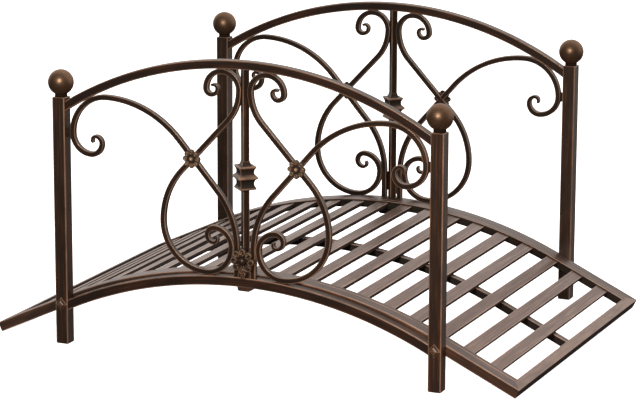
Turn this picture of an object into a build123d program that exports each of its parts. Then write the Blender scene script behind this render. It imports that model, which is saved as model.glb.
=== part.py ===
from build123d import *
import os
from math import asin, atan2, cos, degrees, hypot, pi, radians, sin, sqrt

# A small garden moon bridge of welded metal tube: two arched railings with forged-look scrolls
# stand on square posts, and an arched slatted deck is held between them.
# X runs along the bridge, Y across it and Z up. The origin is on the ground, at the middle.
# Millimetres throughout.

# Posts: square tube with rounded corners
POST_SIZE = 25.0
POST_CORNER = 2.5
POST_SPACING_ALONG = 750.0
POST_SPACING_ACROSS = 690.0
POST_HEIGHT = 470.0

# Ball finials on the posts
BALL_DIAMETER = 48.0
NECK_DIAMETER = 17.0
NECK_HEIGHT = 3.0

# Handrails: square tube, arched from post to post
HANDRAIL_SIZE = 16.0
HANDRAIL_RISE = 103.0
HANDRAIL_BELOW_POST_TOP = 6.0

# Lower rails of the railings: square tube, arched from post to post
LOWER_RAIL_SIZE = 18.0
LOWER_RAIL_RISE = 82.0
LOWER_RAIL_END_HEIGHT = 86.0

# Chamfer along the corners of the arched tubes
TUBE_CORNER = 2.0

# Centre bars of the railings, set cornerwise to the front, each with a square moulded collar
CENTRE_BAR_SIZE = 12.7
CENTRE_BAR_TURN = 45.0
COLLAR_HEIGHT = 44.0
COLLAR_MIDDLE_HEIGHT = 5.0
COLLAR_END_HEIGHT = 4.0
COLLAR_MIDDLE_SIZE = 37.0
COLLAR_END_SIZE = 32.0
COLLAR_WAIST_SIZE = 25.5
COLLAR_FLARE_HEIGHT = 8.0
COLLAR_FLARE_SIZE = 21.0
COLLAR_FLARE_TOP_SIZE = 14.5
COLLAR_RISE_SHARE = 0.486

# Scroll bars: square rod bent to arcs in the plane of the railing, with thinned tips
SCROLL_WIDTH = 10.0
SCROLL_DEPTH = 10.0
SCROLL_TIP_WIDTH = 6.0
SCROLL_TIP_RADIUS = 7.0
SCROLL_TIP_TURN = 120.0
WELD_GAP = 0.2

# Inner scrolls: a curl under the handrail, a long diagonal, a big loop and a curl inside it.
# Their radii are shares of the height of the panel between the rails at its middle.
INNER_TOP_CURL_SHARE = 0.0855
INNER_TOP_EYE_SHARE = 0.0297
INNER_NECK_SHARE = 0.219
INNER_SHOULDER_SHARE = 0.368
INNER_LOOP_OUTER_SHARE = 0.2301
INNER_LOOP_INNER_SHARE = 0.1316
INNER_FOOT_CURL_SHARE = 0.0888
INNER_FOOT_TURN_SHARE = 0.0392
INNER_FOOT_EYE_SHARE = 0.0339

# Outer scrolls: an upright tail, a long diagonal, a high arch and a curl beside the post.
# The curl's radii are shares of half the clear span. The bend and the arch are shares of the
# height that they climb, or of the given share of the width that they cross if that is less.
OUTER_TAIL_OFFSET = 16.6
OUTER_CURL_OFF_POST = 7.0
OUTER_CURL_SHARE = 0.1967
OUTER_CURL_LOWER_SHARE = 0.105
OUTER_EYE_SHARE = 0.0607
OUTER_EYE_INNER_SHARE = 0.0343
OUTER_WIDTH_SHARE = 0.87
OUTER_BEND_SHARE = 0.6834
OUTER_ARCH_SHARE = 0.8662

# Rosettes on the outer face of each railing
ROSETTE_PETALS = 8
ROSETTE_DIAMETER = 35.0
ROSETTE_PLATE = 3.0
ROSETTE_BOSS_DIAMETER = 10.0
BIG_ROSETTE_DIAMETER = 48.0
BIG_ROSETTE_PLATE = 5.0
BIG_ROSETTE_BOSS_DIAMETER = 15.0
BIG_ROSETTE_ABOVE_LOWER_RAIL = 32.0
PETAL_OVERLAP_SHARE = 1.06

# Deck: side rails with an inner strip, end bars, slats and a spine. It is arched between the posts
# and runs on straight to its ends.
DECK_PAST_POSTS = 152.0
DECK_RADIUS = 885.0
DECK_DEPTH = 19.0
DECK_RAIL_WIDTH = 25.0
DECK_STRIP_WIDTH = 12.0
END_BAR_WIDTH = 20.0
SLAT_COUNT = 19
SLAT_WIDTH = 24.0
SLAT_THICKNESS = 8.0
SLAT_RECESS = 3.0
STRIP_DEPTH = 16.0
SPINE_WIDTH = 15.0
SPINE_DEPTH = 15.0

# Brackets under the middle of the deck's sides, which tie them to the railings
BRACKET_WIDTH = 26.0
BRACKET_DROP = 7.6
BRACKET_UPSTAND = 6.0
BRACKET_SETBACK = 2.0
BRACKET_CORNER = 4.0

# Places worked out from the sizes above
CLEAR_SPAN = POST_SPACING_ALONG - POST_SIZE
RAILING_Y = -POST_SPACING_ACROSS / 2
DECK_EDGE_Y = (POST_SPACING_ACROSS - POST_SIZE) / 2
STRIP_OUTER_Y = DECK_EDGE_Y - DECK_RAIL_WIDTH
STRIP_INNER_Y = STRIP_OUTER_Y - DECK_STRIP_WIDTH

# A shape made about the origin stands on its lowest face.
SEATED = (Align.CENTER, Align.CENTER, Align.MIN)


def arc_radius(span, rise):
    """Radius of the arc that rises by this much over this span."""
    return (span * span / 4 + rise * rise) / (2 * rise)


HANDRAIL_TOP = POST_HEIGHT - HANDRAIL_BELOW_POST_TOP + HANDRAIL_RISE
HANDRAIL_RADIUS = arc_radius(CLEAR_SPAN, HANDRAIL_RISE)
HANDRAIL_HUB = HANDRAIL_TOP - HANDRAIL_RADIUS
HANDRAIL_UNDER_RADIUS = HANDRAIL_RADIUS - HANDRAIL_SIZE
LOWER_RAIL_TOP = LOWER_RAIL_END_HEIGHT + LOWER_RAIL_RISE
LOWER_RAIL_RADIUS = arc_radius(CLEAR_SPAN, LOWER_RAIL_RISE)
LOWER_RAIL_HUB = LOWER_RAIL_TOP - LOWER_RAIL_RADIUS
PANEL_HEIGHT = HANDRAIL_TOP - HANDRAIL_SIZE - LOWER_RAIL_TOP
CENTRE_BAR_REACH = CENTRE_BAR_SIZE / sqrt(2)

INNER_TOP_CURL_RADIUS = INNER_TOP_CURL_SHARE * PANEL_HEIGHT
INNER_TOP_EYE_RADIUS = INNER_TOP_EYE_SHARE * PANEL_HEIGHT
INNER_NECK_RADIUS = INNER_NECK_SHARE * PANEL_HEIGHT
INNER_SHOULDER_RADIUS = INNER_SHOULDER_SHARE * PANEL_HEIGHT
INNER_LOOP_OUTER_RADIUS = INNER_LOOP_OUTER_SHARE * PANEL_HEIGHT
INNER_LOOP_INNER_RADIUS = INNER_LOOP_INNER_SHARE * PANEL_HEIGHT
INNER_FOOT_CURL_RADIUS = INNER_FOOT_CURL_SHARE * PANEL_HEIGHT
INNER_FOOT_TURN_RADIUS = INNER_FOOT_TURN_SHARE * PANEL_HEIGHT
INNER_FOOT_EYE_RADIUS = INNER_FOOT_EYE_SHARE * PANEL_HEIGHT
OUTER_CURL_RADIUS = OUTER_CURL_SHARE * CLEAR_SPAN / 2
OUTER_CURL_LOWER_RADIUS = OUTER_CURL_LOWER_SHARE * CLEAR_SPAN / 2
OUTER_EYE_RADIUS = OUTER_EYE_SHARE * CLEAR_SPAN / 2
OUTER_EYE_INNER_RADIUS = OUTER_EYE_INNER_SHARE * CLEAR_SPAN / 2

# The deck's lower end edges stand on the ground. Its half length is measured along its top.
DECK_ANGLE = asin(POST_SPACING_ALONG / 2 / DECK_RADIUS)
DECK_RUN = DECK_PAST_POSTS / cos(DECK_ANGLE)
DECK_HUB = DECK_RUN * sin(DECK_ANGLE) - (DECK_RADIUS - DECK_DEPTH) * cos(DECK_ANGLE)
DECK_HALF_LENGTH = DECK_RADIUS * DECK_ANGLE + DECK_RUN


def height_on_arc(hub, radius, x):
    """Height of a circular arc about (0, hub) at the place x along the bridge."""
    return hub + sqrt(radius * radius - x * x)


def arch_tube(y, width, depth, hub, top_radius, half_angle):
    """A tube bent to an arc about a hub, with chamfered corners and ends cut square to the arc."""
    section = chamfer(Rectangle(width, depth).vertices(), TUBE_CORNER)
    placed = Plane.YZ * Pos(y, hub + top_radius - depth / 2) * section
    axis = Axis((0, 0, hub), (0, 1, 0))
    tube = revolve(placed, axis, degrees(2 * half_angle))
    return tube.rotate(axis, -degrees(half_angle))


def arch_between_posts(size, hub, top_radius):
    """An arched railing tube whose ends are cut upright to butt on the posts' inner faces."""
    half_angle = asin((CLEAR_SPAN + size) / 2 / (top_radius - size))
    tube = arch_tube(RAILING_Y, size, size, hub, top_radius, half_angle)
    reach = 2 * top_radius
    return tube & Pos(0, RAILING_Y, hub) * Box(CLEAR_SPAN, reach, reach)


def post():
    """The front right post."""
    section = RectangleRounded(POST_SIZE, POST_SIZE, POST_CORNER)
    return Pos(POST_SPACING_ALONG / 2, RAILING_Y) * extrude(section, POST_HEIGHT)


def ball_finial():
    """The ball on the front right post, with its short round neck."""
    ball_radius = BALL_DIAMETER / 2
    neck = Cylinder(NECK_DIAMETER / 2, NECK_HEIGHT + ball_radius, align=SEATED)
    ball = Pos(0, 0, NECK_HEIGHT + ball_radius) * Sphere(ball_radius)
    return Pos(POST_SPACING_ALONG / 2, RAILING_Y, POST_HEIGHT) * (neck + ball)


def centre_bar():
    """The upright bar in the middle of the railing, from the lower rail to the handrail."""
    top = height_on_arc(HANDRAIL_HUB, HANDRAIL_UNDER_RADIUS, CENTRE_BAR_REACH)
    section = Rot(0, 0, CENTRE_BAR_TURN) * Rectangle(CENTRE_BAR_SIZE, CENTRE_BAR_SIZE)
    return Pos(0, RAILING_Y, LOWER_RAIL_TOP) * extrude(section, top - LOWER_RAIL_TOP)


def collar():
    """A square moulding round the centre bar: a wide middle rim, two hollow necks and two end rims.

    Its top flares up to the bar.
    """
    end_z = COLLAR_HEIGHT / 2
    flare_z = end_z + COLLAR_FLARE_HEIGHT
    flare_x = COLLAR_FLARE_SIZE / 2
    flare_top_x = COLLAR_FLARE_TOP_SIZE / 2
    end_inner_z = end_z - COLLAR_END_HEIGHT
    middle_z = COLLAR_MIDDLE_HEIGHT / 2
    waist_z = (end_inner_z + middle_z) / 2
    end_x = COLLAR_END_SIZE / 2
    middle_x = COLLAR_MIDDLE_SIZE / 2
    waist_x = COLLAR_WAIST_SIZE / 2
    right_side = [
        Line((end_x, -end_z), (end_x, -end_inner_z)),
        ThreePointArc((end_x, -end_inner_z), (waist_x, -waist_z), (middle_x, -middle_z)),
        Line((middle_x, -middle_z), (middle_x, middle_z)),
        ThreePointArc((middle_x, middle_z), (waist_x, waist_z), (end_x, end_inner_z)),
        Line((end_x, end_inner_z), (end_x, end_z)),
        Line((end_x, end_z), (flare_x, end_z)),
        Line((flare_x, end_z), (flare_top_x, flare_z)),
        Line((flare_top_x, flare_z), (0, flare_z)),
        Line((0, flare_z), (0, -end_z)),
        Line((0, -end_z), (end_x, -end_z)),
    ]
    half_profile = make_face(right_side)
    profile = half_profile + mirror(half_profile, about=Plane.YZ)
    along = extrude(Plane.XZ * profile, COLLAR_MIDDLE_SIZE, both=True)
    across = along.rotate(Axis.Z, 90)
    bore = Box(CENTRE_BAR_SIZE, CENTRE_BAR_SIZE, 2 * flare_z)
    height = LOWER_RAIL_TOP + COLLAR_RISE_SHARE * PANEL_HEIGHT
    return Pos(0, RAILING_Y, height) * Rot(0, 0, CENTRE_BAR_TURN) * ((along & across) - bore)


# A scroll's centre-line is a list of moves in the railing plane. A move is a pair (size, turn):
# a straight run of that length where turn is 0, and otherwise an arc of that radius which turns
# by that many radians, to the left where positive. Places are (x, z) and headings are radians.


def beside(place, heading, offset):
    """The point at this offset to the left of a place on a path."""
    return (place[0] - offset * sin(heading), place[1] + offset * cos(heading))


def advance(place, heading, move, share):
    """Place and heading after this share of a move."""
    size, turn = move
    if turn == 0:
        return (place[0] + share * size * cos(heading), place[1] + share * size * sin(heading)), heading
    side = size if turn > 0 else -size
    hub = beside(place, heading, side)
    new_heading = heading + share * turn
    return beside(hub, new_heading, -side), new_heading


def path_end(place, heading, moves):
    """Place and heading at the end of a list of moves."""
    for move in moves:
        place, heading = advance(place, heading, move, 1)
    return place, heading


def scroll_bar(place, heading, moves, start_width, end_width):
    """A rod that follows a path, with its first and last moves thinned to the given end widths."""
    sides = {1: [], -1: []}
    first_place, first_heading = place, heading
    for index, move in enumerate(moves):
        width_in = start_width if index == 0 else SCROLL_WIDTH
        width_out = end_width if index == len(moves) - 1 else SCROLL_WIDTH
        middle_place, middle_heading = advance(place, heading, move, 1 / 2)
        next_place, next_heading = advance(place, heading, move, 1)
        for side, edges in sides.items():
            start = beside(place, heading, side * width_in / 2)
            middle = beside(middle_place, middle_heading, side * (width_in + width_out) / 4)
            end = beside(next_place, next_heading, side * width_out / 2)
            edges.append(Line(start, end) if move[1] == 0 else ThreePointArc(start, middle, end))
        place, heading = next_place, next_heading
    ends = [(first_place, first_heading, start_width / 2), (place, heading, end_width / 2)]
    caps = [Line(beside(point, way, half), beside(point, way, -half)) for point, way, half in ends]
    outline = make_face(sides[1] + sides[-1] + caps)
    return Pos(0, RAILING_Y) * extrude(Plane.XZ * outline, SCROLL_DEPTH / 2, both=True)


QUARTER_TURN = pi / 2
HALF_TURN = pi
TIP_TURN = radians(SCROLL_TIP_TURN)
HALF_SCROLL = SCROLL_WIDTH / 2


def inner_scroll_path():
    """Start, heading and moves of the right inner scroll, from its upper tip to its lower tip.

    The top curl bears on the handrail and is let into the corner of the centre bar. The loop bears
    on the tail of the outer scroll and on the lower rail.
    """
    curl_x = CENTRE_BAR_SIZE / 2 + HALF_SCROLL + INNER_TOP_CURL_RADIUS
    curl_reach = HANDRAIL_UNDER_RADIUS - WELD_GAP - HALF_SCROLL - INNER_TOP_CURL_RADIUS
    curl_z = height_on_arc(HANDRAIL_HUB, curl_reach, curl_x)
    neck_hub = (curl_x - INNER_TOP_CURL_RADIUS + INNER_NECK_RADIUS, curl_z)

    loop_x = OUTER_TAIL_OFFSET + SCROLL_WIDTH + WELD_GAP + INNER_LOOP_INNER_RADIUS
    loop_z = inner_loop_height()
    outer_z = loop_z - INNER_LOOP_INNER_RADIUS + INNER_LOOP_OUTER_RADIUS
    shoulder_hub = (loop_x + INNER_LOOP_OUTER_RADIUS - INNER_SHOULDER_RADIUS, outer_z)

    step_x = shoulder_hub[0] - neck_hub[0]
    step_z = shoulder_hub[1] - neck_hub[1]
    distance = hypot(step_x, step_z)
    lean = asin((INNER_NECK_RADIUS + INNER_SHOULDER_RADIUS) / distance)
    diagonal_heading = atan2(step_z, step_x) + lean
    diagonal_length = distance * cos(lean)
    bend = diagonal_heading + QUARTER_TURN

    top_curl = [
        (INNER_TOP_CURL_RADIUS, -HALF_TURN),
        (INNER_TOP_EYE_RADIUS, -HALF_TURN),
        (SCROLL_TIP_RADIUS, -TIP_TURN),
    ]
    curl_start = (curl_x - INNER_TOP_CURL_RADIUS, curl_z)
    tip, tip_heading = path_end(curl_start, QUARTER_TURN, top_curl)
    moves = [(size, -turn) for size, turn in reversed(top_curl)]
    moves += [
        (INNER_NECK_RADIUS, bend),
        (diagonal_length, 0),
        (INNER_SHOULDER_RADIUS, -bend),
        (INNER_LOOP_OUTER_RADIUS, -QUARTER_TURN),
        (INNER_LOOP_INNER_RADIUS, -QUARTER_TURN),
        (INNER_FOOT_CURL_RADIUS, -QUARTER_TURN),
        (INNER_FOOT_TURN_RADIUS, -QUARTER_TURN),
        (INNER_FOOT_EYE_RADIUS, -QUARTER_TURN),
        (SCROLL_TIP_RADIUS, -TIP_TURN),
    ]
    return tip, tip_heading + HALF_TURN, moves


def inner_loop_height():
    """Height of the inner scroll's loop centre, where the loop bears on the lower rail."""
    loop_x = OUTER_TAIL_OFFSET + SCROLL_WIDTH + WELD_GAP + INNER_LOOP_INNER_RADIUS
    loop_reach = LOWER_RAIL_RADIUS + WELD_GAP + HALF_SCROLL + INNER_LOOP_INNER_RADIUS
    return height_on_arc(LOWER_RAIL_HUB, loop_reach, loop_x)


def outer_scroll_path():
    """Start, heading and moves of the right outer scroll, from its foot to its tip.

    The tail stands on the lower rail, and the curl bears on the handrail, just clear of the post.
    """
    foot_z = height_on_arc(LOWER_RAIL_HUB, LOWER_RAIL_RADIUS, OUTER_TAIL_OFFSET - HALF_SCROLL)
    bend_z = inner_loop_height()
    curl_x = CLEAR_SPAN / 2 - OUTER_CURL_OFF_POST - HALF_SCROLL - OUTER_CURL_RADIUS
    curl_reach = HANDRAIL_UNDER_RADIUS - WELD_GAP - HALF_SCROLL - OUTER_CURL_RADIUS
    arch_top = height_on_arc(HANDRAIL_HUB, curl_reach, curl_x) + OUTER_CURL_RADIUS

    reach = min(arch_top - bend_z, OUTER_WIDTH_SHARE * (curl_x - OUTER_TAIL_OFFSET))
    bend_radius = OUTER_BEND_SHARE * reach
    arch_radius = OUTER_ARCH_SHARE * reach
    bend_hub = (OUTER_TAIL_OFFSET + bend_radius, bend_z)
    arch_hub = (curl_x, arch_top - arch_radius)

    step_x = arch_hub[0] - bend_hub[0]
    step_z = arch_hub[1] - bend_hub[1]
    distance = hypot(step_x, step_z)
    lean = asin((arch_radius - bend_radius) / distance)
    diagonal_heading = atan2(step_z, step_x) + lean
    moves = [
        (bend_z - foot_z, 0),
        (bend_radius, diagonal_heading - QUARTER_TURN),
        (distance * cos(lean), 0),
        (arch_radius, -diagonal_heading),
        (OUTER_CURL_RADIUS, -QUARTER_TURN),
        (OUTER_CURL_LOWER_RADIUS, -QUARTER_TURN),
        (OUTER_EYE_RADIUS, -QUARTER_TURN),
        (OUTER_EYE_INNER_RADIUS, -QUARTER_TURN),
        (SCROLL_TIP_RADIUS, -TIP_TURN),
    ]
    return (OUTER_TAIL_OFFSET, foot_z), QUARTER_TURN, moves


def straight_run(path):
    """Start and heading of the diagonal, which is the last straight run of a path."""
    place, heading, moves = path
    for move in moves:
        if move[1] == 0:
            run = place, heading
        place, heading = advance(place, heading, move, 1)
    return run


def crossing():
    """Where the diagonals of an inner and an outer scroll cross, as (x, z)."""
    (a_x, a_z), a_heading = straight_run(inner_scroll_path())
    (b_x, b_z), b_heading = straight_run(outer_scroll_path())
    turn = sin(a_heading - b_heading)
    along = ((a_z - b_z) * cos(b_heading) - (a_x - b_x) * sin(b_heading)) / -turn
    return a_x + along * cos(a_heading), a_z + along * sin(a_heading)


def inner_scroll():
    """The front right inner scroll, notched over the corner of the centre bar."""
    return scroll_bar(*inner_scroll_path(), SCROLL_TIP_WIDTH, SCROLL_TIP_WIDTH) - centre_bar()


def outer_scroll():
    """The front right outer scroll, cut where the inner scroll passes through it."""
    whole = scroll_bar(*outer_scroll_path(), SCROLL_WIDTH, SCROLL_TIP_WIDTH)
    return whole - inner_scroll()


def rosette(diameter, plate, boss_diameter):
    """A flower that faces up: a ring of domed petals on a round plate, with a domed boss."""
    half_step = sin(pi / ROSETTE_PETALS)
    ring_radius = diameter / 2 / (1 + PETAL_OVERLAP_SHARE * half_step)
    petal_radius = diameter / 2 - ring_radius
    flower = extrude(Circle(ring_radius), plate)
    for place in PolarLocations(ring_radius, ROSETTE_PETALS):
        flower += place * Sphere(petal_radius, arc_size1=0, align=SEATED)
    return flower + Pos(0, 0, plate) * Sphere(boss_diameter / 2, arc_size1=0, align=SEATED)


def on_front_face(flower, x, y, z):
    """A rosette turned to face the front, with its back on the plane at y."""
    return Pos(x, y, z) * Rot(90, 0, 0) * flower


def crossing_rosette():
    """The rosette over the front right crossing."""
    x, z = crossing()
    flower = rosette(ROSETTE_DIAMETER, ROSETTE_PLATE, ROSETTE_BOSS_DIAMETER)
    return on_front_face(flower, x, RAILING_Y - SCROLL_DEPTH / 2, z)


def foot_rosette():
    """The big rosette over the foot of the front centre bar."""
    flower = rosette(BIG_ROSETTE_DIAMETER, BIG_ROSETTE_PLATE, BIG_ROSETTE_BOSS_DIAMETER)
    height = LOWER_RAIL_TOP + BIG_ROSETTE_ABOVE_LOWER_RAIL
    return on_front_face(flower, 0, RAILING_Y - CENTRE_BAR_REACH, height)


def deck_tube(y, width, depth, top_radius, run):
    """A tube of the deck: bent to the deck's arc between the posts, then straight for a run."""
    arch = arch_tube(y, width, depth, DECK_HUB, top_radius, DECK_ANGLE)
    faces = arch.faces().sort_by(Axis.X)
    return arch + extrude(faces[0], run) + extrude(faces[-1], run)


def on_deck(distance, depth):
    """The point (x, z) at this depth under the deck's top, and the deck's angle there.

    The distance is measured along the deck's top from its middle.
    """
    angle = max(-DECK_ANGLE, min(DECK_ANGLE, distance / DECK_RADIUS))
    rest = distance - angle * DECK_RADIUS
    radius = DECK_RADIUS - depth
    x = radius * sin(angle) + rest * cos(angle)
    z = DECK_HUB + radius * cos(angle) - rest * sin(angle)
    return x, z, angle


def mitre_plane():
    """The plane of the mitre at the right end of the front deck rail, facing the end bar."""
    x, z, angle = on_deck(DECK_HALF_LENGTH, 0)
    outward = Vector(cos(angle), 0, -sin(angle)) * DECK_RAIL_WIDTH
    return Plane((x, -DECK_EDGE_Y, z), z_dir=outward + Vector(0, END_BAR_WIDTH, 0))


def deck_rail():
    """The front side rail of the deck, mitred at both ends."""
    y = -DECK_EDGE_Y + DECK_RAIL_WIDTH / 2
    rail = deck_tube(y, DECK_RAIL_WIDTH, DECK_DEPTH, DECK_RADIUS, DECK_RUN)
    for turned in range(2):
        rail = mirror(split(rail, mitre_plane(), keep=Keep.BOTTOM), about=Plane.YZ)
    return rail


def deck_strip():
    """The narrow strip along the inside of the front side rail, level with its top."""
    y = -STRIP_OUTER_Y + DECK_STRIP_WIDTH / 2
    return deck_tube(y, DECK_STRIP_WIDTH, STRIP_DEPTH, DECK_RADIUS, DECK_RUN - END_BAR_WIDTH)


def end_bar():
    """The bar across the right end of the deck, mitred to both side rails."""
    x, z, angle = on_deck(DECK_HALF_LENGTH - END_BAR_WIDTH / 2, DECK_DEPTH / 2)
    section = chamfer(Rectangle(END_BAR_WIDTH, DECK_DEPTH).vertices(), TUBE_CORNER)
    bar = extrude(Plane.XZ * section, DECK_EDGE_Y, both=True)
    bar = Pos(x, 0, z) * Rot(0, degrees(angle), 0) * bar
    for turned in range(2):
        bar = mirror(split(bar, mitre_plane(), keep=Keep.TOP), about=Plane.XZ)
    return bar


def slat(distance):
    """One flat slat between the strips, at a distance along the deck from its middle."""
    x, z, angle = on_deck(distance, SLAT_RECESS + SLAT_THICKNESS / 2)
    return Pos(x, 0, z) * Rot(0, degrees(angle), 0) * Box(SLAT_WIDTH, 2 * STRIP_INNER_Y, SLAT_THICKNESS)


def distance_along_deck(x):
    """Distance along the deck's top, from its middle to the place x along the bridge."""
    post_x = POST_SPACING_ALONG / 2
    bent_x = max(-post_x, min(post_x, x))
    return DECK_RADIUS * asin(bent_x / DECK_RADIUS) + (x - bent_x) / cos(DECK_ANGLE)


def slat_distances():
    """Distances of the slats along the deck. Seen from above they are evenly spaced to the end bars."""
    inner_end_x = on_deck(DECK_HALF_LENGTH - END_BAR_WIDTH, 0)[0]
    level_width = SLAT_WIDTH * cos(DECK_ANGLE)
    pitch = (2 * inner_end_x + level_width) / (SLAT_COUNT + 1)
    middle = (SLAT_COUNT - 1) / 2
    return [distance_along_deck((index - middle) * pitch) for index in range(SLAT_COUNT)]


def spine():
    """The bar along the middle of the deck, under the slats and between the end bars."""
    top_radius = DECK_RADIUS - SLAT_RECESS - SLAT_THICKNESS
    return deck_tube(0, SPINE_WIDTH, SPINE_DEPTH, top_radius, DECK_RUN - END_BAR_WIDTH)


def bracket():
    """The bracket under the front lower rail and deck rail at mid-span, cut to fit both."""
    y_front = RAILING_Y - LOWER_RAIL_SIZE / 2 + BRACKET_SETBACK
    length = -STRIP_OUTER_Y - y_front
    under = LOWER_RAIL_TOP - LOWER_RAIL_SIZE - BRACKET_DROP
    height = BRACKET_DROP + BRACKET_UPSTAND
    block = Pos(0, y_front + length / 2, under + height / 2) * Box(BRACKET_WIDTH, length, height)
    lower_edges = block.edges().filter_by(Axis.Y).group_by(Axis.Z)[0]
    block = fillet(lower_edges, BRACKET_CORNER)
    lower_rail = arch_between_posts(LOWER_RAIL_SIZE, LOWER_RAIL_HUB, LOWER_RAIL_RADIUS)
    return block - lower_rail - deck_rail()


def save(name, solid):
    export_step(solid, f"parts/{name}.step")


def save_front_and_back(name, solid):
    """Saves a piece of the front railing or deck side, and its mirror image at the back."""
    save(f"front_{name}", solid)
    save(f"back_{name}", mirror(solid, about=Plane.XZ))


def save_four(name, solid):
    """Saves a front right piece and its mirror images at the other three corners."""
    save_front_and_back(f"right_{name}", solid)
    save_front_and_back(f"left_{name}", mirror(solid, about=Plane.YZ))


def save_slats():
    """Saves the middle slat by itself and the slats of each half of the deck together."""
    slats = {"left": [], "middle": [], "right": []}
    middle = (SLAT_COUNT - 1) / 2
    for index, distance in enumerate(slat_distances()):
        half = "left" if index < middle else "right" if index > middle else "middle"
        slats[half].append(slat(distance))
    for half, pieces in slats.items():
        if pieces:
            save(f"{half}_slats", Compound(pieces))


os.makedirs("parts", exist_ok=True)
save_four("post", post())
save_four("ball_finial", ball_finial())
save_four("inner_scroll", inner_scroll())
save_four("outer_scroll", outer_scroll())
save_four("rosette", crossing_rosette())
save_front_and_back("handrail", arch_between_posts(HANDRAIL_SIZE, HANDRAIL_HUB, HANDRAIL_RADIUS))
save_front_and_back("lower_rail", arch_between_posts(LOWER_RAIL_SIZE, LOWER_RAIL_HUB, LOWER_RAIL_RADIUS))
save_front_and_back("centre_bar", centre_bar())
save_front_and_back("collar", collar())
save_front_and_back("foot_rosette", foot_rosette())
save_front_and_back("deck_rail", deck_rail())
save_front_and_back("deck_strip", deck_strip())
save_front_and_back("bracket", bracket())
right_end_bar = end_bar()
save("right_end_bar", right_end_bar)
save("left_end_bar", mirror(right_end_bar, about=Plane.YZ))
save("deck_spine", spine())
save_slats()
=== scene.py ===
from collections import namedtuple
from math import asin, atan2, ceil, cos, hypot, pi, radians, sin, sqrt

import bpy
import numpy as np
from mathutils import Matrix, Vector


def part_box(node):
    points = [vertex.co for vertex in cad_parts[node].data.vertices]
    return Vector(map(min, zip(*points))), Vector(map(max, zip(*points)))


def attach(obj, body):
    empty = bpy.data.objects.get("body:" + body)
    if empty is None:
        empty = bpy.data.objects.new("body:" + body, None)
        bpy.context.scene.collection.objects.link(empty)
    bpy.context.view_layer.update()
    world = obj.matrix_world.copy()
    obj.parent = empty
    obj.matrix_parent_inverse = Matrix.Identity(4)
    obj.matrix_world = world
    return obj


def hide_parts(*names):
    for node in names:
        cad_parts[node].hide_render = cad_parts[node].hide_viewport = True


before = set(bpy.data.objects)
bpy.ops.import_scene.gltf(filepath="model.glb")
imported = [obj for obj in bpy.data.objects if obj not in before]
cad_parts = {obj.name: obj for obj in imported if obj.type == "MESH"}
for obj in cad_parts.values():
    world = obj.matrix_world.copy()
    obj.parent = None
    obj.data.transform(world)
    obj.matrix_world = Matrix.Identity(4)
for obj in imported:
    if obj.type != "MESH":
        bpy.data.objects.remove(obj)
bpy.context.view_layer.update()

# A small garden moon bridge in brushed antique bronze. Every CAD node is replaced by a finer mesh
# with rounded edges. Its points carry two attributes for the materials: grain, the place along and
# across the bar in metres, and edge, which is 1 where rubbing bares the metal, also a painted
# highlight, and -1 on sides and undersides, painted dark as painted shade, and in hollows, which are
# painted darker.
# X runs along the bridge, Y across it and Z up. Metres throughout.

# Sizes read from the frame
POST_LOW, POST_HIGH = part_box("front_right_post")
POST_SIZE = POST_HIGH[0] - POST_LOW[0]
POST_X = (POST_HIGH[0] + POST_LOW[0]) / 2
POST_TOP = POST_HIGH[2]
POST_FRONT = POST_LOW[1]
RAILING_Y = (POST_HIGH[1] + POST_LOW[1]) / 2
CLEAR_HALF = POST_LOW[0]
BALL_LOW, BALL_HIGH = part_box("front_right_ball_finial")
BALL_RADIUS = (BALL_HIGH[0] - BALL_LOW[0]) / 2
NECK_HEIGHT = BALL_HIGH[2] - BALL_LOW[2] - 2 * BALL_RADIUS

# Sizes repeated from the part's source
CENTRE_BAR_SIZE = 0.0127
CENTRE_BAR_TURN = radians(45)
COLLAR_RISE_SHARE = 0.486
SCROLL_SIZE = 0.010
SCROLL_TIP_RADIUS = 0.007
SCROLL_TIP_TURN = radians(120)
WELD_GAP = 0.0002
INNER_TOP_CURL_SHARE = 0.0855
INNER_TOP_EYE_SHARE = 0.0297
INNER_NECK_SHARE = 0.219
INNER_SHOULDER_SHARE = 0.368
INNER_LOOP_OUTER_SHARE = 0.2301
INNER_LOOP_INNER_SHARE = 0.1316
INNER_FOOT_CURL_SHARE = 0.0888
INNER_FOOT_TURN_SHARE = 0.0392
INNER_FOOT_EYE_SHARE = 0.0339
OUTER_TAIL_OFFSET = 0.0166
OUTER_CURL_OFF_POST = 0.007
OUTER_CURL_SHARE = 0.1967
OUTER_CURL_LOWER_SHARE = 0.105
OUTER_EYE_SHARE = 0.0607
OUTER_EYE_INNER_SHARE = 0.0343
OUTER_WIDTH_SHARE = 0.87
OUTER_BEND_SHARE = 0.6834
OUTER_ARCH_SHARE = 0.8662
PETALS = 8
PETAL_OVERLAP_SHARE = 1.06
ROSETTE_DIAMETER = 0.035
BIG_ROSETTE_DIAMETER = 0.048
BIG_ROSETTE_ABOVE_LOWER_RAIL = 0.032
DECK_PAST_POSTS = 0.152
DECK_RADIUS = 0.885
DECK_DEPTH = 0.019
DECK_RAIL_WIDTH = 0.025
DECK_STRIP_WIDTH = 0.012
STRIP_DEPTH = 0.016
END_BAR_WIDTH = 0.020
SLAT_COUNT = 19
SLAT_WIDTH = 0.024
SLAT_THICKNESS = 0.008
SLAT_RECESS = 0.003
SPINE_SIZE = 0.015
BRACKET_WIDTH = 0.026
BRACKET_DROP = 0.0076
BRACKET_UPSTAND = 0.006
BRACKET_SETBACK = 0.002
BRACKET_CORNER = 0.004

# Width of the scrolls at their drawn-out tips, and the length over which they narrow
TIP_WIDTH = 0.0048
TAPER_LENGTH = 0.050

# Radius of the collar that hides the neck under each ball, which is painted dark as painted shade,
# and how fast painted shade darkens the ball's underside towards it
BALL_COLLAR_RADIUS = 0.0115
BALL_SHADE = 1.7

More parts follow.
